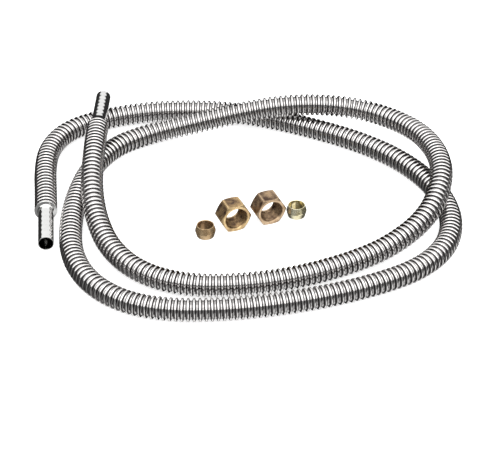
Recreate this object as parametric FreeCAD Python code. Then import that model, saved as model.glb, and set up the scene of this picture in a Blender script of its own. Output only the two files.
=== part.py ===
import FreeCAD, Part
import math
import os

# An immersion wort chiller: one loose coil of corrugated stainless steel tube with a plain cuff at
# each end, and the two brass compression nuts and two brass olives for its ends, lying loose
# inside the coil.
#
# Millimetres, +Z up. The origin is on the surface that the coil lies on, under the middle of the
# coil. The mouth of end A faces -Y and the mouth of end B faces +Y.

# ---------------------------------------------------------------- driving dimensions

TUBE_OD = 19.0            # corrugated tube, across its crests
TUBE_WALL = 0.5           # its strip, spread over the length of tube that the strip makes
CUFF_OD = 12.7            # plain half-inch cuff at each end
CUFF_WALL = 0.5
CUFF_LENGTH_A = 48.5      # from the corrugated tube to the mouth
CUFF_LENGTH_B = 56.5
FLANGE_THICKNESS = 1.6    # the last convolution at end A, which stands square to the cuff
CONE_LENGTH = 9.0         # the sloping shoulder at end B
SHOULDER_LAND = 0.8       # the rim of either shoulder where it meets the corrugated tube

CROSSING_GAP = 3.0        # between the tube and its own lower turn at a crossing
FLOOR_Z = TUBE_OD / 2                          # the tube's middle where it lies on the surface
OVER_Z = FLOOR_Z + TUBE_OD + CROSSING_GAP      # the tube's middle where it passes over itself

NUT_FLATS = 23.8          # hexagon across its flats, 15/16 inch
NUT_LENGTH = 15.5
NUT_TUBE_HOLE = 15.2      # wide clearance hole for the cuff in the nut's back wall
NUT_BACK_WALL = 2.5
NUT_THREAD_BORE = 17.5    # 3/4-16 thread at its crests
NUT_THREAD_MOUTH = 19.4   # the mouth's chamfer, just over the thread's 19.05 major diameter
NUT_CHAMFER = 1.1         # how far the 30 degree chamfers run down the hexagon's corners
NUT_FACE = 23.1           # round face left between the chamfers

OLIVE_OD = 16.9           # the olive's ridge, where its two cones meet
OLIVE_END_OD = 14.2
OLIVE_BORE = 12.75
OLIVE_LENGTH = 10.5
OLIVE_BEVEL = 0.3         # inner bevel at each rim

# Where the loose pieces lie: the middle of a nut's open face, and the foot of an olive
NUT_YAW = 22.0            # degrees that both nuts' open faces are turned from -Y towards +X
NUT_LEFT = (-5.6, -28.7, NUT_FLATS / 2)
NUT_RIGHT = (23.4, -18.7, NUT_FLATS / 2)
OLIVE_LEFT = (-31.2, -34.7, 0.0)
OLIVE_RIGHT = (44.2, -5.5, 0.0)

# The tube's route from end A to end B: two loose turns, clockwise from above. The first turn lies
# on the surface. The second rises over the first at the back, at the right and at the left.
ROUTE = [
    (-164, -11.5, FLOOR_Z),
    (-166.3, 14, FLOOR_Z),
    (-170, 47, FLOOR_Z),
    (-170, 81, FLOOR_Z),
    (-157, 111, FLOOR_Z),
    (-130, 130, FLOOR_Z),
    (-96, 142, FLOOR_Z),
    (-58, 147, FLOOR_Z),
    (-18, 145, FLOOR_Z),
    (22, 134, FLOOR_Z),
    (62, 116, FLOOR_Z),
    (98, 96, FLOOR_Z),
    (130, 70, FLOOR_Z),
    (154, 38, FLOOR_Z),
    (168, 4, FLOOR_Z),
    (172, -32, FLOOR_Z),
    (163, -67, FLOOR_Z),
    (139, -96, FLOOR_Z),
    (103, -116, FLOOR_Z),
    (64, -131, FLOOR_Z),
    (22, -142, FLOOR_Z),
    (-20, -148, FLOOR_Z),
    (-60, -148, FLOOR_Z),
    (-95, -137, FLOOR_Z),
    (-122, -112, FLOOR_Z),
    (-138, -76, FLOOR_Z),
    (-142, -34, FLOOR_Z),
    (-140, 8, FLOOR_Z),
    (-132, 49, FLOOR_Z),
    (-114, 85, FLOOR_Z),
    (-84, 107, FLOOR_Z),
    (-48, 115, 14.5),
    (-10, 118, 24),
    (27, 120, OVER_Z),
    (65, 124, OVER_Z),
    (102, 127, 25),
    (132, 110, 24),
    (155, 77, 28.5),
    (166, 38, OVER_Z),
    (165, 0, OVER_Z),
    (151, -37, 22),
    (118, -68, 12.5),
    (80, -90, FLOOR_Z),
    (40, -107, FLOOR_Z),
    (0, -116, FLOOR_Z),
    (-42, -117, FLOOR_Z),
    (-80, -102, FLOOR_Z),
    (-107, -69, FLOOR_Z),
    (-121, -31, 15),
    (-127, 5, 24.5),
    (-127, 41, OVER_Z),
    (-127, 64, OVER_Z),
    (-126.8, 76, 30.2),
    (-126.6, 86, 29.6),
]

CORNER_SHARE = 0.45       # how much of its shorter run each corner's arc takes up


# ---------------------------------------------------------------- the tube's path

def route_points():
    return [FreeCAD.Vector(*point) for point in ROUTE]


def corner(before, point, after):
    """A corner's arc: its start, middle and end points, and its radius."""
    run_in = before - point
    run_out = after - point
    half_turn = (math.pi - run_in.getAngle(run_out)) / 2
    reach = CORNER_SHARE * min(run_in.Length, run_out.Length)
    radius = reach / math.tan(half_turn)
    start = point + FreeCAD.Vector(run_in).normalize() * reach
    end = point + FreeCAD.Vector(run_out).normalize() * reach
    inward = ((start + end) / 2 - point).normalize()
    middle = point + inward * (radius / math.cos(half_turn) - radius)
    return start, middle, end, radius


def path_wire(points):
    """Straight runs joined by tangent arcs."""
    edges = []
    radii = []
    here = points[0]
    for before, point, after in zip(points, points[1:], points[2:]):
        start, middle, end, radius = corner(before, point, after)
        edges.append(Part.LineSegment(here, start).toShape())
        edges.append(Part.Arc(start, middle, end).toShape())
        radii.append(radius)
        here = end
    edges.append(Part.LineSegment(here, points[-1]).toShape())
    return Part.Wire(edges), radii


def sweep(path, start, direction, diameter):
    """A solid round bar of the given diameter along the path."""
    circle = Part.Circle(start, direction, diameter / 2).toShape()
    return path.makePipeShell([Part.Wire([circle])], True, False)


# ---------------------------------------------------------------- turned pieces

def lathe(outline):
    """A solid turned about +Z from a closed outline of (radius, height) points."""
    points = [FreeCAD.Vector(radius, 0, height) for radius, height in outline]
    face = Part.Face(Part.makePolygon(points + points[:1]))
    return face.revolve(FreeCAD.Vector(0, 0, 0), FreeCAD.Vector(0, 0, 1), 360)


def placed(shape, position, rotation):
    shape.Placement = FreeCAD.Placement(FreeCAD.Vector(*position), rotation)
    return shape


def cuff(joint, mouth_direction, length, slope_length):
    """A plain cuff and its shoulder. Height 0 is where the shoulder meets the corrugated tube."""
    outer = CUFF_OD / 2
    inner = outer - CUFF_WALL
    crest = TUBE_OD / 2
    land = SHOULDER_LAND if slope_length else FLANGE_THICKNESS
    outline = [
        (inner, 0),
        (crest, 0),
        (crest, land),
        (outer, land + slope_length),
        (outer, length),
        (inner, length),
    ]
    turn = FreeCAD.Rotation(FreeCAD.Vector(0, 0, 1), mouth_direction)
    return placed(lathe(outline), joint, turn)


def compression_nut(position):
    """Height 0 is the open face, and the nut runs down from it to its back wall."""
    corner_radius = NUT_FLATS / math.sqrt(3)
    face_radius = NUT_FACE / 2
    corners = []
    for index in range(6):
        angle = math.radians(60 * index)
        corners.append(FreeCAD.Vector(corner_radius * math.cos(angle), corner_radius * math.sin(angle),
                                      -NUT_LENGTH))
    hexagon = Part.Face(Part.makePolygon(corners + corners[:1]))
    blank = hexagon.extrude(FreeCAD.Vector(0, 0, NUT_LENGTH))
    chamfers = lathe([
        (0, -NUT_LENGTH),
        (face_radius, -NUT_LENGTH),
        (corner_radius + 0.1, NUT_CHAMFER - NUT_LENGTH),
        (corner_radius + 0.1, -NUT_CHAMFER),
        (face_radius, 0),
        (0, 0),
    ])
    hole = NUT_TUBE_HOLE / 2
    thread = NUT_THREAD_BORE / 2
    mouth = NUT_THREAD_MOUTH / 2
    seat_top = NUT_BACK_WALL + (thread - hole) - NUT_LENGTH
    bore = lathe([
        (0, -NUT_LENGTH - 1),
        (hole, -NUT_LENGTH - 1),
        (hole, NUT_BACK_WALL - NUT_LENGTH),
        (thread, seat_top),
        (thread, thread - mouth),
        (mouth, 0),
        (mouth, 1),
        (0, 1),
    ])
    nut = blank.common(chamfers).cut(bore)
    lie_down = FreeCAD.Rotation(FreeCAD.Vector(1, 0, 0), 90)
    yaw = FreeCAD.Rotation(FreeCAD.Vector(0, 0, 1), NUT_YAW)
    return placed(nut, position, yaw.multiply(lie_down))


def olive(position):
    rim = OLIVE_END_OD / 2
    bore = OLIVE_BORE / 2
    ring = lathe([
        (bore + OLIVE_BEVEL, 0),
        (rim, 0),
        (OLIVE_OD / 2, OLIVE_LENGTH / 2),
        (rim, OLIVE_LENGTH),
        (bore + OLIVE_BEVEL, OLIVE_LENGTH),
        (bore, OLIVE_LENGTH - OLIVE_BEVEL),
        (bore, OLIVE_BEVEL),
    ])
    return placed(ring, position, FreeCAD.Rotation())


# ---------------------------------------------------------------- the pieces

def corrugated_tube(points):
    path, radii = path_wire(points)
    direction = points[1] - points[0]
    outside = sweep(path, points[0], direction, TUBE_OD)
    inside = sweep(path, points[0], direction, TUBE_OD - 2 * TUBE_WALL)
    tube = outside.cut(inside)
    section = math.pi * TUBE_WALL * (TUBE_OD - TUBE_WALL)
    print("arc radii mm:", ", ".join(f"{radius:.0f}" for radius in radii))
    print(f"tube length {path.Length:.1f} mm, volume {tube.Volume:.0f} mm3, "
          f"section x length {section * path.Length:.0f} mm3")
    return tube


def build():
    points = route_points()
    return {
        "corrugated_tube": corrugated_tube(points),
        "plain_end_a": cuff(points[0], points[0] - points[1], CUFF_LENGTH_A, 0.0),
        "plain_end_b": cuff(points[-1], points[-1] - points[-2], CUFF_LENGTH_B, CONE_LENGTH),
        "compression_nut_left": compression_nut(NUT_LEFT),
        "compression_nut_right": compression_nut(NUT_RIGHT),
        "ferrule_left": olive(OLIVE_LEFT),
        "ferrule_right": olive(OLIVE_RIGHT),
    }


os.makedirs("parts", exist_ok=True)
for node, shape in build().items():
    print(node, "valid", shape.isValid(), "solids", len(shape.Solids), f"volume {shape.Volume:.0f}")
    shape.exportStep(f"parts/{node}.step")
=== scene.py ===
import math
import random

import bpy
import numpy as np
from mathutils import Matrix, Vector


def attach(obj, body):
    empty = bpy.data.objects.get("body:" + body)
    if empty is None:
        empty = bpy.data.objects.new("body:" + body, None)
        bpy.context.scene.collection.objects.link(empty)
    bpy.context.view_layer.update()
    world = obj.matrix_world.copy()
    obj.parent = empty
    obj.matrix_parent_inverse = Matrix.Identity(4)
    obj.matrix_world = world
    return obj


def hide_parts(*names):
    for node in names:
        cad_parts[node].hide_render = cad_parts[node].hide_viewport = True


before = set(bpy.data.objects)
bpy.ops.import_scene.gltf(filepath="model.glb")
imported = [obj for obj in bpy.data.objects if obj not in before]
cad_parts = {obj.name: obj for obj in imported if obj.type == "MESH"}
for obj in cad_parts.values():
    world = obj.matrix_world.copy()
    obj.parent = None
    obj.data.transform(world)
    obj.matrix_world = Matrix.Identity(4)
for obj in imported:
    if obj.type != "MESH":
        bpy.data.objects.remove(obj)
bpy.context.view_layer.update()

# An immersion wort chiller: a loose coil of corrugated stainless tube with a plain cuff at each end,
# two brass compression nuts and two brass ferrules. Metres, in the CAD model's frame.

MM = 0.001

# ------------------------------------------------------------------ sizes, as in the CAD model

TUBE_OD = 19.0 * MM
CUFF_OD = 12.7 * MM
CUFF_WALL = 0.5 * MM
CUFF_LENGTH_A = 48.5 * MM
CUFF_LENGTH_B = 56.5 * MM

NUT_FLATS = 23.8 * MM
NUT_LENGTH = 15.5 * MM
NUT_TUBE_HOLE = 15.2 * MM
NUT_BACK_WALL = 2.5 * MM
NUT_THREAD_CREST = 17.5 * MM
NUT_THREAD_ROOT = 19.05 * MM
NUT_THREAD_PITCH = 1.5875 * MM
NUT_MOUTH = 19.4 * MM
NUT_FACE = 23.1 * MM
NUT_YAW = math.radians(22)
NUT_PLACES = {
    "compression_nut_left": (-0.0056, -0.0287, 0.0119),
    "compression_nut_right": (0.0234, -0.0187, 0.0119),
}

OLIVE_OD = 16.9 * MM
OLIVE_END_OD = 14.2 * MM
OLIVE_BORE = 12.75 * MM
OLIVE_LENGTH = 10.5 * MM
OLIVE_PLACES = {
    "ferrule_left": (-0.0312, -0.0347, 0.0),
    "ferrule_right": (0.0442, -0.0055, 0.0),
}

# The tube's route, from end A to end B. Where it crosses itself it lies lightly on its lower turn.
FLOOR_Z = 0.0095
OVER_Z = 0.0299
ROUTE = [
    (-0.1640, -0.0115, FLOOR_Z),
    (-0.1663, 0.0140, FLOOR_Z),
    (-0.1700, 0.0470, FLOOR_Z),
    (-0.1700, 0.0810, FLOOR_Z),
    (-0.1570, 0.1110, FLOOR_Z),
    (-0.1300, 0.1300, FLOOR_Z),
    (-0.0960, 0.1420, FLOOR_Z),
    (-0.0580, 0.1470, FLOOR_Z),
    (-0.0180, 0.1450, FLOOR_Z),
    (0.0220, 0.1340, FLOOR_Z),
    (0.0620, 0.1160, FLOOR_Z),
    (0.0980, 0.0960, FLOOR_Z),
    (0.1300, 0.0700, FLOOR_Z),
    (0.1540, 0.0380, FLOOR_Z),
    (0.1680, 0.0040, FLOOR_Z),
    (0.1720, -0.0320, FLOOR_Z),
    (0.1630, -0.0670, FLOOR_Z),
    (0.1390, -0.0960, FLOOR_Z),
    (0.1030, -0.1160, FLOOR_Z),
    (0.0640, -0.1310, FLOOR_Z),
    (0.0220, -0.1420, FLOOR_Z),
    (-0.0200, -0.1480, FLOOR_Z),
    (-0.0600, -0.1480, FLOOR_Z),
    (-0.0950, -0.1370, FLOOR_Z),
    (-0.1220, -0.1120, FLOOR_Z),
    (-0.1380, -0.0760, FLOOR_Z),
    (-0.1420, -0.0340, FLOOR_Z),
    (-0.1400, 0.0080, FLOOR_Z),
    (-0.1320, 0.0490, FLOOR_Z),
    (-0.1140, 0.0850, FLOOR_Z),
    (-0.0840, 0.1070, FLOOR_Z),
    (-0.0480, 0.1150, 0.0145),
    (-0.0100, 0.1180, 0.0230),
    (0.0270, 0.1200, OVER_Z),
    (0.0650, 0.1240, OVER_Z),
    (0.1020, 0.1270, 0.0235),
    (0.1320, 0.1100, 0.0230),
    (0.1550, 0.0770, 0.0275),
    (0.1660, 0.0380, OVER_Z),
    (0.1650, 0.0000, OVER_Z),
    (0.1510, -0.0370, 0.0200),
    (0.1180, -0.0680, 0.0115),
    (0.0800, -0.0900, FLOOR_Z),
    (0.0400, -0.1070, FLOOR_Z),
    (0.0000, -0.1160, FLOOR_Z),
    (-0.0420, -0.1170, FLOOR_Z),
    (-0.0800, -0.1020, FLOOR_Z),
    (-0.1070, -0.0690, FLOOR_Z),
    (-0.1210, -0.0310, 0.0145),
    (-0.1270, 0.0050, 0.0235),
    (-0.1270, 0.0410, OVER_Z),
    (-0.1270, 0.0640, OVER_Z),
    (-0.1268, 0.0760, 0.0302),
    (-0.1266, 0.0860, 0.0296),
]

# ------------------------------------------------------------------ camera

CAMERA_ELEVATION = math.radians(35)
CAMERA_DISTANCE = 1.528
CAMERA_TARGET = Vector((0.0054, -0.0258, 0.0))
CAMERA_LENS_MM = 133.1


def add_camera():
    data = bpy.data.cameras.new("camera")
    data.lens = CAMERA_LENS_MM
    camera = bpy.data.objects.new("camera", data)
    bpy.context.scene.collection.objects.link(camera)
    back = Vector((0, -math.cos(CAMERA_ELEVATION), math.sin(CAMERA_ELEVATION)))
    camera.location = CAMERA_TARGET + back * CAMERA_DISTANCE
    camera.rotation_euler = (-back).to_track_quat("-Z", "Y").to_euler()
    bpy.context.scene.camera = camera


add_camera()

# ------------------------------------------------------------------ mesh helpers


def link(name, mesh):
    piece = bpy.data.objects.new(name, mesh)
    bpy.context.scene.collection.objects.link(piece)
    return piece


def grid_mesh(name, rings, closed_along):
    """A mesh over rings of points, an array (ring, point, 3). Each ring is closed round. The last
    ring joins the first when closed_along, and otherwise both end rings get a flat cap."""
    count, around, _ = rings.shape
    ring = np.arange(count if closed_along else count - 1)[:, None]
    step = np.arange(around)[None, :]
    after_ring = (ring + 1) % count
    after_step = (step + 1) % around
    corners = [ring * around + step, ring * around + after_step,
               after_ring * around + after_step, after_ring * around + step]
    faces = np.stack(np.broadcast_arrays(*corners), axis=-1).reshape(-1, 4).tolist()
    if not closed_along:
        faces.append(list(range(around))[::-1])
        faces.append([(count - 1) * around + index for index in range(around)])
    mesh = bpy.data.meshes.new(name)
    mesh.from_pydata(rings.reshape(-1, 3).tolist(), [], faces)
    mesh.shade_smooth()
    return mesh


def vertex_values(mesh, name, values):
    attribute = mesh.attributes.new(name, "FLOAT", "POINT")
    attribute.data.foreach_set("value", np.asarray(values, dtype=np.float32).ravel())


ARC_POINTS = 4                 # on each softened corner's arc
GUARD = 0.35                   # how far outside an arc its two guard points are, x its reach
LONGEST_REACH = 0.35           # how far an arc may reach from its corner, x the shorter side
CORNER_ROWS = ARC_POINTS + 2


def rounded(outline, radius):
    """The outline's (radius, height) corners, each softened by an arc of a few points. A guard point
    just outside each end of an arc keeps the straight stretches straight when shaded smooth."""
    softened = []
    count = len(outline)
    for index, point in enumerate(outline):
        here = np.array(point)
        before = np.array(outline[index - 1]) - here
        after = np.array(outline[(index + 1) % count]) - here
        long_before, long_after = np.linalg.norm(before), np.linalg.norm(after)
        reach = min(radius, LONGEST_REACH * long_before, LONGEST_REACH * long_after)
        start = here + before / long_before * reach
        end = here + after / long_after * reach
        softened.append(start + (start - here) * GUARD)
        for step in range(ARC_POINTS):
            share = step / (ARC_POINTS - 1)
            softened.append((1 - share) ** 2 * start + 2 * share * (1 - share) * here + share ** 2 * end)
        softened.append(end + (end - here) * GUARD)
    return np.array(softened)


def turned(name, outline, around, placement, ripple=None):
    """A solid turned about +Z from a closed outline of (radius, height) points, then placed. The
    ripple, of the outline's points and the angles, is added to the radius."""
    angles = np.linspace(0, 2 * math.pi, around, endpoint=False)
    radii = np.repeat(outline[:, 0, None], around, axis=1)
    if ripple is not None:
        radii = radii + ripple(outline, angles)
    rings = np.empty((len(outline), around, 3))
    rings[:, :, 0] = radii * np.cos(angles)
    rings[:, :, 1] = radii * np.sin(angles)
    rings[:, :, 2] = outline[:, 1, None]
    mesh = grid_mesh(name, rings, closed_along=True)
    mesh.transform(placement)
    mesh.update()
    return mesh


# ------------------------------------------------------------------ the corrugated tube

PITCH = 4.6 * MM
ROOT_RADIUS = 7.2 * MM
CREST_RADIUS = TUBE_OD / 2
CREST_BEND = 1.08 * MM         # radius of a convolution's rounded crest
FLANK_GAP = 0.04 * MM          # along the tube, between a crest's bend and the root's bend
# Rings lie at these degrees round the crest's bend, each way, and round the root's bend. Each has
# how much painted shade its ring gets: crests bright, the flanks between them painted dark, roots partly
# dark.
CREST_RINGS = ((0, 0.0), (36, 0.1), (68, 0.85))
ROOT_RINGS = ((64, 1.0), (22, 0.5))
TUBE_AROUND = 24
UNEVEN_PLACE = 0.02            # how far a crest may sit from its place, x the pitch
UNEVEN_CREST = 0.08 * MM       # how much lower than the highest a crest may be
LUCK_SEED = 7
ROUTE_RESOLUTION = 48          # points on the curve for each of the route's own


def route_points():
    """Points of the route's own smooth curve, close together."""
    curve = bpy.data.curves.new("route", "CURVE")
    curve.dimensions = "3D"
    spline = curve.splines.new("NURBS")
    spline.points.add(len(ROUTE) - 1)
    for point, place in zip(spline.points, ROUTE):
        point.co = (*place, 1)
    spline.order_u = 3
    spline.use_endpoint_u = True
    spline.resolution_u = ROUTE_RESOLUTION
    holder = bpy.data.objects.new("route", curve)
    mesh = bpy.data.meshes.new_from_object(holder)
    points = np.array([vertex.co[:] for vertex in mesh.vertices])
    bpy.data.objects.remove(holder)
    bpy.data.meshes.remove(mesh)
    return points


def along(points, distances):
    """Points and directions at the given distances along a line of points."""
    lengths = np.linalg.norm(np.diff(points, axis=0), axis=1)
    reached = np.concatenate([[0], np.cumsum(lengths)])
    places = np.stack([np.interp(distances, reached, points[:, axis]) for axis in range(3)], axis=1)
    tangents = np.gradient(points, reached, axis=0)
    heads = np.stack([np.interp(distances, reached, tangents[:, axis]) for axis in range(3)], axis=1)
    return places, heads / np.linalg.norm(heads, axis=1, keepdims=True)


def convolution():
    """One convolution from crest to crest: (share of the pitch, share of the depth, painted shade) rings.
    """
    root_bend = PITCH / 2 - CREST_BEND - FLANK_GAP
    depth = CREST_RADIUS - ROOT_RADIUS
    half = []
    for degrees, shade in CREST_RINGS:
        angle = math.radians(degrees)
        half.append((CREST_BEND * math.sin(angle), depth - CREST_BEND * (1 - math.cos(angle)), shade))
    for degrees, shade in ROOT_RINGS:
        angle = math.radians(degrees)
        half.append((PITCH / 2 - root_bend * math.sin(angle), root_bend * (1 - math.cos(angle)), shade))
    whole = half + [(PITCH - place, height, shade) for place, height, shade in reversed(half[1:])]
    return [(place / PITCH, height / depth, shade) for place, height, shade in whole]


def tube_rings():
    """Ring centres, directions, radii and painted shades, from end A to end B."""
    line = route_points()
    total = np.linalg.norm(np.diff(line, axis=0), axis=1).sum()
    count = round(total / PITCH)
    pitch = total / count
    profile = convolution()
    luck = random.Random(LUCK_SEED)
    distances = []
    radii = []
    shades = []
    for index in range(count):
        shift = luck.uniform(-UNEVEN_PLACE, UNEVEN_PLACE) if index else 0.0
        change = luck.uniform(-UNEVEN_CREST, 0.0)
        for share, height, shade in profile:
            distances.append((index + share + shift * height) * pitch)
            radii.append(ROOT_RADIUS + (CREST_RADIUS + change - ROOT_RADIUS) * height)
            shades.append(shade)
    distances = np.array(distances + [total])
    centres, heads = along(line, distances)
    return centres, heads, np.array(radii + [CREST_RADIUS]), np.array(shades + [0.0])


def corrugated_tube():
    centres, heads, radii, shades = tube_rings()
    side = np.cross(heads, (0, 0, 1))
    side /= np.linalg.norm(side, axis=1, keepdims=True)
    up = np.cross(side, heads)
    angles = np.linspace(0, 2 * math.pi, TUBE_AROUND, endpoint=False)
    spoke = (np.cos(angles)[None, :, None] * side[:, None, :]
             + np.sin(angles)[None, :, None] * up[:, None, :])
    rings = centres[:, None, :] + radii[:, None, None] * spoke
    mesh = grid_mesh("corrugated_tube_skin", rings, closed_along=False)
    vertex_values(mesh, "shade", np.repeat(shades, TUBE_AROUND))
    return link("corrugated_tube_skin", mesh), centres


# ------------------------------------------------------------------ the plain cuffs

CUFF_AROUND = 64
CUFF_ROUNDING = 0.35 * MM
RIPPLE_PITCH = 6.5 * MM        # of the shallow spiral in the plain ends
RIPPLE_DEPTH = 0.08 * MM
RIPPLE_FADE = 3.0 * MM         # over which the spiral comes in at each end
RIPPLE_ROWS = 60
PLAIN_MARGIN = 1.0 * MM        # from the plain stretch's rows to the shoulder and to the mouth
SAME_RADIUS = 0.01 * MM

# The shoulder of a cuff, from the tube's end outward, as steps of (radius, height). End A has a square
# flange with a fillet behind it, and end B has a cone.
FLANGE_SHOULDER = (
    (TUBE_OD / 2, 0.0),
    (TUBE_OD / 2, 1.6 * MM),
    (CUFF_OD / 2 + 0.5 * MM, 1.9 * MM),
    (CUFF_OD / 2, 3.4 * MM),
)
CONE_SHOULDER = (
    (TUBE_OD / 2 - 0.3 * MM, 0.0),
    (TUBE_OD / 2 - 0.3 * MM, 0.9 * MM),
    (CUFF_OD / 2 + 1.4 * MM, 5.0 * MM),
    (CUFF_OD / 2, 9.8 * MM),
)


def aim(position, direction):
    turn = Vector(direction).to_track_quat("Z", "Y").to_matrix().to_4x4()
    return Matrix.Translation(position) @ turn


def spiral_ripple(outline, angles):
    """A shallow spiral groove on the plain stretch of a cuff's outside, fading out at its ends."""
    radii, heights = outline[:, 0, None], outline[:, 1, None]
    outside = np.abs(radii - CUFF_OD / 2) < SAME_RADIUS
    low, high = heights[outside].min(), heights[outside].max()
    fade = np.clip(np.minimum(heights - low, high - heights) / RIPPLE_FADE, 0, 1)
    wave = 0.5 - 0.5 * np.sin(2 * math.pi * heights / RIPPLE_PITCH + angles)
    return np.where(outside, -RIPPLE_DEPTH * fade * wave, 0.0)


def cuff(name, start, before, length, shoulder):
    """A plain cuff with its shoulder, from the tube's end outward."""
    outer = CUFF_OD / 2
    inner = outer - CUFF_WALL
    direction = Vector(start) - Vector(before)
    bottom = shoulder[-1][1] + PLAIN_MARGIN
    top = length - PLAIN_MARGIN
    side = [(outer, bottom + (top - bottom) * row / RIPPLE_ROWS) for row in range(RIPPLE_ROWS + 1)]
    ends = rounded([(inner, 0.0), *shoulder, (outer, length), (inner, length)], CUFF_ROUNDING)
    split = CORNER_ROWS * (len(shoulder) + 1)
    outline = np.concatenate([ends[:split], side, ends[split:]])
    mesh = turned(name, outline, CUFF_AROUND, aim(start, direction), spiral_ripple)
    return link(name, mesh)


# ------------------------------------------------------------------ the compression nuts

CORNER_ROUNDING = 0.45 * MM
FLAT_STEPS = 9
CORNER_STEPS = 5
CHAMFER_SLOPE = math.tan(math.radians(30))
NUT_ROUNDING = 0.22 * MM
HOLE_BEVEL = 0.3 * MM
THREAD_ROWS_PER_TURN = 8
THREAD_RISE = 1.5              # how steep a groove's sides are, against a plain V
THREAD_FLAT = 0.25             # and how much of the V its flat crest takes away
FLAT_ROWS = slice(13, 18)      # the outline's rows on the hexagon's flats
THREAD_START = 40              # and the first of its rows inside the bore
EDGE_START = 1.10              # where a flat's bright edge starts, x the half width across flats
EDGE_WIDTH = 0.03
EDGE_POLISH = 0.85


def hexagon_outline():
    """Points round a hexagon with softened corners, a flat at each multiple of 60 degrees plus 30."""
    points = []
    centre_radius = NUT_FLATS / math.sqrt(3) - CORNER_ROUNDING / math.cos(math.radians(30))
    for index in range(6):
        middle = math.radians(60 * index)
        centre = np.array([math.cos(middle), math.sin(middle)]) * centre_radius
        arc = []
        for step in range(CORNER_STEPS):
            angle = middle + math.radians(30) * (2 * step / (CORNER_STEPS - 1) - 1)
            arc.append(centre + CORNER_ROUNDING * np.array([math.cos(angle), math.sin(angle)]))
        if points:
            previous = points[-1]
            for step in range(1, FLAT_STEPS):
                points.append(previous + (arc[0] - previous) * step / FLAT_STEPS)
        points.extend(arc)
    last = points[-1]
    for step in range(1, FLAT_STEPS):
        points.append(last + (points[0] - last) * step / FLAT_STEPS)
    return np.array(points)


def nut_column(reach, angle):
    """One column of the nut's closed outline, at the angle where the hexagon reaches that far out."""
    face = NUT_FACE / 2
    drop = (reach - face) * CHAMFER_SLOPE
    hole = NUT_TUBE_HOLE / 2
    crest = NUT_THREAD_CREST / 2
    root = NUT_THREAD_ROOT / 2
    mouth = NUT_MOUTH / 2
    back = -NUT_LENGTH
    seat = back + NUT_BACK_WALL
    thread_end = seat + (crest - hole)
    mouth_end = -(mouth - crest)
    corners = rounded([
        (mouth, 0.0), (face, 0.0), (reach, -drop), (reach, back + drop), (face, back),
        (hole + HOLE_BEVEL, back), (hole, back + HOLE_BEVEL), (hole, seat), (crest, thread_end),
    ], NUT_ROUNDING)[2:]
    rows = int(round((mouth_end - thread_end) / NUT_THREAD_PITCH * THREAD_ROWS_PER_TURN))
    heights = np.linspace(thread_end, mouth_end, rows + 1)[1:-1]
    phase = heights / NUT_THREAD_PITCH + angle / (2 * math.pi)
    groove = 1 - np.abs(2 * (phase % 1) - 1)
    depth = np.clip(groove * THREAD_RISE - THREAD_FLAT, 0, 1) * (root - crest)
    runout = np.clip((heights - thread_end) / NUT_THREAD_PITCH, 0, 1)
    thread = np.stack([crest + depth * runout, heights], axis=1)
    return np.concatenate([corners, thread])


def nut_polish_and_shade(rows, reaches):
    """How polished each point is: turned faces bright, the drawn flats dull but for their edges, and
    the thread painted dark, as shade inside the bore."""
    polish_and_shade = np.ones((rows, len(reaches)))
    edge = np.clip((reaches / (NUT_FLATS / 2) - EDGE_START) / EDGE_WIDTH, 0, 1)
    polish_and_shade[FLAT_ROWS, :] = EDGE_POLISH * edge
    # Painted shade: the thread inside the bore takes the low, dark brown colour.
    polish_and_shade[THREAD_START:, :] = 0.0
    return polish_and_shade


def compression_nut(name, position):
    outline = hexagon_outline()
    reaches = np.linalg.norm(outline, axis=1)
    angles = np.arctan2(outline[:, 1], outline[:, 0])
    columns = np.stack([nut_column(reach, angle) for reach, angle in zip(reaches, angles)], axis=1)
    rings = np.empty((columns.shape[0], columns.shape[1], 3))
    rings[:, :, 0] = columns[:, :, 0] * np.cos(angles)
    rings[:, :, 1] = columns[:, :, 0] * np.sin(angles)
    rings[:, :, 2] = columns[:, :, 1]
    mesh = grid_mesh(name, rings, closed_along=True)
    vertex_values(mesh, "polish_and_shade", nut_polish_and_shade(rings.shape[0], reaches))
    turn = Matrix.Rotation(NUT_YAW, 4, "Z") @ Matrix.Rotation(math.radians(90), 4, "X")
    mesh.transform(Matrix.Translation(position) @ turn)
    mesh.update()
    return link(name, mesh)


# ------------------------------------------------------------------ the ferrules

OLIVE_AROUND = 72
OLIVE_BEVEL = 0.3 * MM
OLIVE_ROUNDING = 0.9 * MM
RIDGE_LAND = 0.5 * MM          # the flat along the top of the ridge
BORE_EDGE = 0.6                # the bore's painted shade ends here, x the bevel


def ferrule(name, position):
    rim = OLIVE_END_OD / 2
    ridge = OLIVE_OD / 2
    bore = OLIVE_BORE / 2
    middle = OLIVE_LENGTH / 2
    outline = rounded([
        (bore + OLIVE_BEVEL, 0.0), (rim, 0.0), (ridge, middle - RIDGE_LAND / 2),
        (ridge, middle + RIDGE_LAND / 2), (rim, OLIVE_LENGTH), (bore + OLIVE_BEVEL, OLIVE_LENGTH),
        (bore, OLIVE_LENGTH - OLIVE_BEVEL), (bore, OLIVE_BEVEL),
    ], OLIVE_ROUNDING)
    mesh = turned(name, outline, OLIVE_AROUND, Matrix.Translation(position))
    # Painted shade: the bore inside the ferrule takes the low, dark colour.
    polish_and_shade = np.where(outline[:, 0] < bore + BORE_EDGE * OLIVE_BEVEL, 0.0, 1.0)
    vertex_values(mesh, "polish_and_shade", np.repeat(polish_and_shade, OLIVE_AROUND))
    return link(name, mesh)


# ------------------------------------------------------------------ materials


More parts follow.
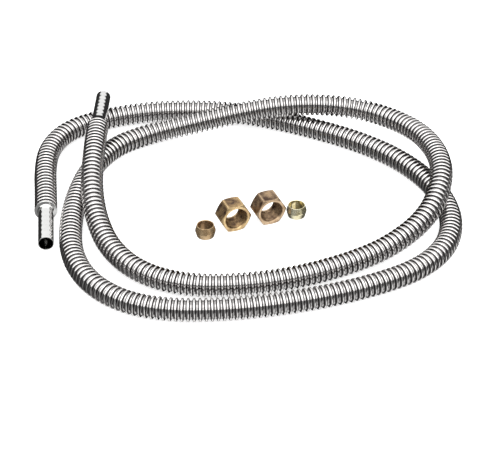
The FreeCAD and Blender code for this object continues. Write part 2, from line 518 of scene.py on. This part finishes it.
class Nodes:
    """A short way to build a material's node tree."""

    def __init__(self, name):
        self.material = bpy.data.materials.new(name)
        self.material.use_nodes = True
        self.tree = self.material.node_tree
        self.shader = self.tree.nodes["Principled BSDF"]

    def add(self, kind, **settings):
        node = self.tree.nodes.new(kind)
        for key, value in settings.items():
            if key in node.inputs:
                node.inputs[key].default_value = value
            else:
                setattr(node, key, value)
        return node

    def join(self, output, target):
        self.tree.links.new(output, target)

    def noise(self, scale, detail=4.0):
        place = self.add("ShaderNodeTexCoord").outputs["Object"]
        node = self.add("ShaderNodeTexNoise", Scale=scale, Detail=detail, Roughness=0.55)
        self.join(place, node.inputs["Vector"])
        return node.outputs["Fac"]

    def span(self, source, low, high, to_low, to_high):
        node = self.add("ShaderNodeMapRange")
        node.inputs["From Min"].default_value = low
        node.inputs["From Max"].default_value = high
        node.inputs["To Min"].default_value = to_low
        node.inputs["To Max"].default_value = to_high
        self.join(source, node.inputs["Value"])
        return node.outputs["Result"]

    def blend(self, share, first, second):
        """A mix of two colours. The node's sockets 6, 7 and output 2 are its colour ones."""
        node = self.add("ShaderNodeMix", data_type="RGBA")
        self.join(share, node.inputs["Factor"])
        for socket, value in ((node.inputs[6], first), (node.inputs[7], second)):
            if isinstance(value, tuple):
                socket.default_value = value
            else:
                self.join(value, socket)
        return node.outputs[2]

    def bump(self, source, strength, distance):
        node = self.add("ShaderNodeBump", Strength=strength, Distance=distance)
        self.join(source, node.inputs["Height"])
        self.join(node.outputs["Normal"], self.shader.inputs["Normal"])


def corrugated_steel():
    nodes = Nodes("corrugated_steel")
    nodes.shader.inputs["Metallic"].default_value = 1.0
    shade = nodes.add("ShaderNodeAttribute", attribute_name="shade").outputs["Fac"]
    bright = nodes.blend(nodes.noise(90.0), (0.83, 0.81, 0.80, 1), (0.96, 0.94, 0.93, 1))
    # Painted shade: where the rings' shade value is high, the steel's colour is blended towards near
    # black, darkening the flanks and roots.
    colour = nodes.blend(nodes.span(shade, 0.2, 1.0, 0.0, 1.0), bright, (0.05, 0.045, 0.045, 1))
    nodes.join(colour, nodes.shader.inputs["Base Color"])
    nodes.join(nodes.span(nodes.noise(400.0), 0.3, 0.7, 0.06, 0.18), nodes.shader.inputs["Roughness"])
    nodes.bump(nodes.noise(1500.0, detail=2.0), 0.05, 0.0002)
    return nodes.material


def plain_steel():
    nodes = Nodes("plain_steel")
    nodes.shader.inputs["Metallic"].default_value = 1.0
    colour = nodes.blend(nodes.noise(120.0), (0.82, 0.82, 0.81, 1), (0.94, 0.94, 0.93, 1))
    nodes.join(colour, nodes.shader.inputs["Base Color"])
    nodes.join(nodes.span(nodes.noise(600.0), 0.3, 0.7, 0.05, 0.12), nodes.shader.inputs["Roughness"])
    nodes.bump(nodes.noise(900.0, detail=3.0), 0.06, 0.0003)
    return nodes.material


def brass(name, dull_and_shade, dark, light, rough, metallic):
    """Brass, light where polish is high and dull brown where low: a nut's dull flats, and painted shade in
    its thread and in a ferrule's bore.
    """
    nodes = Nodes(name)
    nodes.shader.inputs["Metallic"].default_value = metallic
    tarnish = nodes.span(nodes.noise(160.0, detail=6.0), 0.35, 0.65, 0.0, 1.0)
    bright = nodes.blend(tarnish, dark, light)
    polish_and_shade = nodes.add("ShaderNodeAttribute", attribute_name="polish_and_shade").outputs["Fac"]
    nodes.join(nodes.blend(polish_and_shade, nodes.blend(tarnish, dull_and_shade, dark), bright),
               nodes.shader.inputs["Base Color"])
    low, high = rough
    nodes.join(nodes.span(nodes.noise(500.0), 0.3, 0.7, low, high), nodes.shader.inputs["Roughness"])
    nodes.bump(nodes.noise(1400.0, detail=3.0), 0.12, 0.0002)
    return nodes.material


def floor_material():
    nodes = Nodes("floor")
    nodes.shader.inputs["Roughness"].default_value = 0.9
    nodes.shader.inputs["Specular IOR Level"].default_value = 0.1
    colour = nodes.blend(nodes.noise(3.0), (0.60, 0.60, 0.60, 1), (0.64, 0.64, 0.64, 1))
    nodes.join(colour, nodes.shader.inputs["Base Color"])
    nodes.shader.inputs["Emission Color"].default_value = (1, 1, 1, 1)
    nodes.shader.inputs["Emission Strength"].default_value = 0.75
    return nodes.material


# ------------------------------------------------------------------ the pieces on their bodies


def finish_piece(piece, body, node, material):
    piece.data.materials.clear()
    piece.data.materials.append(material)
    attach(piece, body)
    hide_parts(node)


def build_tube():
    tube, centres = corrugated_tube()
    finish_piece(tube, "root", "corrugated_tube", corrugated_steel())
    steel = plain_steel()
    end_a = cuff("plain_end_a_skin", ROUTE[0], ROUTE[1], CUFF_LENGTH_A, FLANGE_SHOULDER)
    finish_piece(end_a, "root", "plain_end_a", steel)
    end_b = cuff("plain_end_b_skin", ROUTE[-1], ROUTE[-2], CUFF_LENGTH_B, CONE_SHOULDER)
    finish_piece(end_b, "root", "plain_end_b", steel)


NUT_ROUGHNESS = (0.22, 0.40)
NUT_METALLIC = 0.86


def build_nuts():
    finishes = {
        "left": ((0.07, 0.04, 0.03, 1), (0.50, 0.33, 0.16, 1), (0.95, 0.71, 0.38, 1)),
        "right": ((0.08, 0.045, 0.03, 1), (0.47, 0.32, 0.19, 1), (0.82, 0.61, 0.40, 1)),
    }
    for side, colours in finishes.items():
        node = f"compression_nut_{side}"
        nut = compression_nut(f"{node}_skin", NUT_PLACES[node])
        finish_piece(nut, f"nut_{side}", node,
                     brass(f"nut_brass_{side}", *colours, NUT_ROUGHNESS, NUT_METALLIC))


def build_ferrules():
    finishes = {
        "left": ((0.24, 0.14, 0.07, 1), (0.50, 0.33, 0.17, 1), (0.72, 0.52, 0.30, 1), (0.22, 0.32), 0.85),
        "right": ((0.60, 0.48, 0.22, 1), (0.92, 0.82, 0.50, 1), (1.0, 0.96, 0.72, 1), (0.07, 0.14), 0.92),
    }
    for side, finish in finishes.items():
        node = f"ferrule_{side}"
        ring = ferrule(f"{node}_skin", OLIVE_PLACES[node])
        finish_piece(ring, node, node,
                     brass(f"ferrule_brass_{side}", *finish))


build_tube()
build_nuts()
build_ferrules()

# ------------------------------------------------------------------ floor and lights


FLOOR_RADIUS = 3.0
COVE_RADIUS = 0.8
WALL_HEIGHT = 3.0
COVE_STEPS = 12
FLOOR_AROUND = 96


def add_floor():
    """A pale floor that curves up into a pale wall all round. Polished metal doesn't mirror it: it
    mirrors the studio, which is the world."""
    outline = [(0.0, 0.0), (FLOOR_RADIUS, 0.0)]
    for step in range(1, COVE_STEPS + 1):
        angle = math.radians(90) * step / COVE_STEPS
        outline.append((FLOOR_RADIUS + COVE_RADIUS * math.sin(angle), COVE_RADIUS * (1 - math.cos(angle))))
    outline.append((FLOOR_RADIUS + COVE_RADIUS, WALL_HEIGHT))
    around = FLOOR_AROUND
    angles = np.linspace(0, 2 * math.pi, around, endpoint=False)
    spokes = np.stack([np.cos(angles), np.sin(angles)], axis=1)
    vertices = [(0.0, 0.0, 0.0)]
    for radius, height in outline[1:]:
        vertices += [(radius * x, radius * y, height) for x, y in spokes]
    faces = [(0, 1 + step, 1 + (step + 1) % around) for step in range(around)]
    for ring in range(len(outline) - 2):
        low = 1 + ring * around
        for step in range(around):
            after = (step + 1) % around
            faces.append((low + step, low + around + step, low + around + after, low + after))
    mesh = bpy.data.meshes.new("floor")
    mesh.from_pydata(vertices, [], faces)
    mesh.shade_smooth()
    mesh.materials.append(floor_material())
    floor = link("floor", mesh)
    floor.visible_glossy = False


def add_softbox(name, place, target, size, watts):
    data = bpy.data.lights.new(name, "AREA")
    data.shape = "RECTANGLE"
    data.size, data.size_y = size
    data.energy = watts
    light = bpy.data.objects.new(name, data)
    light.location = place
    light.rotation_euler = (Vector(target) - Vector(place)).to_track_quat("-Z", "Y").to_euler()
    bpy.context.scene.collection.objects.link(light)


# What polished metal mirrors: a bright tent overhead that comes lower at the sides, a dark room round
# it with a faint glow at the front, a pale card low at the front right, and the pale table straight
# below.
TENT_EDGE = (0.41, 0.48)       # of a direction's height + its two drops
SIDE_DROP = 0.15               # x how far it is to either side
BACK_DROP = 0.14               # x how far it is to the back
TENT_GLOW = 1.25
BACK_DIMMING = 0.30            # x how far it is to the back, off the tent's glow
CARD_TOWARDS = Vector((0.60, -0.58, -0.55)).normalized()
CARD_EDGE = (0.88, 0.93)       # cosine of the angle from the card's middle
CARD_GLOW = 0.9
TABLE_EDGE = (-0.82, -0.90)
TABLE_GLOW = 0.9
ROOM_GLOW = 0.03
FRONT_EDGE = (0.3, 0.8)        # how far it is to the front
FRONT_GLOW = 0.2


def add_world():
    world = bpy.data.worlds.new("studio")
    bpy.context.scene.world = world
    world.use_nodes = True
    tree = world.node_tree
    background = tree.nodes["Background"]
    background.inputs["Color"].default_value = (1, 1, 1, 1)

    def math_node(operation, first, second=None):
        node = tree.nodes.new("ShaderNodeMath")
        node.operation = operation
        for socket, value in zip(node.inputs, (first, second)):
            if isinstance(value, (int, float)):
                socket.default_value = value
            elif value is not None:
                tree.links.new(value, socket)
        return node.outputs[0]

    def glow(source, edge, strength):
        node = tree.nodes.new("ShaderNodeMapRange")
        node.inputs["From Min"].default_value, node.inputs["From Max"].default_value = edge
        node.inputs["To Max"].default_value = strength
        tree.links.new(source, node.inputs["Value"])
        return node.outputs["Result"]

    # A world's generated coordinate is the direction that is looked in.
    place = tree.nodes.new("ShaderNodeTexCoord").outputs["Generated"]
    split = tree.nodes.new("ShaderNodeSeparateXYZ")
    tree.links.new(place, split.inputs[0])
    towards_card = tree.nodes.new("ShaderNodeVectorMath")
    towards_card.operation = "DOT_PRODUCT"
    towards_card.inputs[1].default_value = CARD_TOWARDS
    tree.links.new(place, towards_card.inputs[0])
    sideways = math_node("MULTIPLY", math_node("ABSOLUTE", split.outputs["X"]), SIDE_DROP)
    backwards = math_node("MULTIPLY", split.outputs["Y"], BACK_DROP)
    drops = math_node("ADD", sideways, backwards)
    shape = glow(math_node("ADD", split.outputs["Z"], drops), TENT_EDGE, TENT_GLOW)
    dimming = math_node("SUBTRACT", 1.0, math_node("MULTIPLY", split.outputs["Y"], BACK_DIMMING))
    tent = math_node("MULTIPLY", shape, dimming)
    card = glow(towards_card.outputs["Value"], CARD_EDGE, CARD_GLOW)
    table = glow(split.outputs["Z"], TABLE_EDGE, TABLE_GLOW)
    front = glow(math_node("MULTIPLY", split.outputs["Y"], -1.0), FRONT_EDGE, FRONT_GLOW)
    total = ROOM_GLOW
    for part in (tent, card, table, front):
        total = math_node("ADD", part, total)
    tree.links.new(total, background.inputs["Strength"])


add_floor()
add_world()
add_softbox("overhead", place=(0.0, -0.25, 1.3), target=(0, 0, 0), size=(1.3, 0.9), watts=5)
bpy.context.scene.view_settings.view_transform = "Standard"
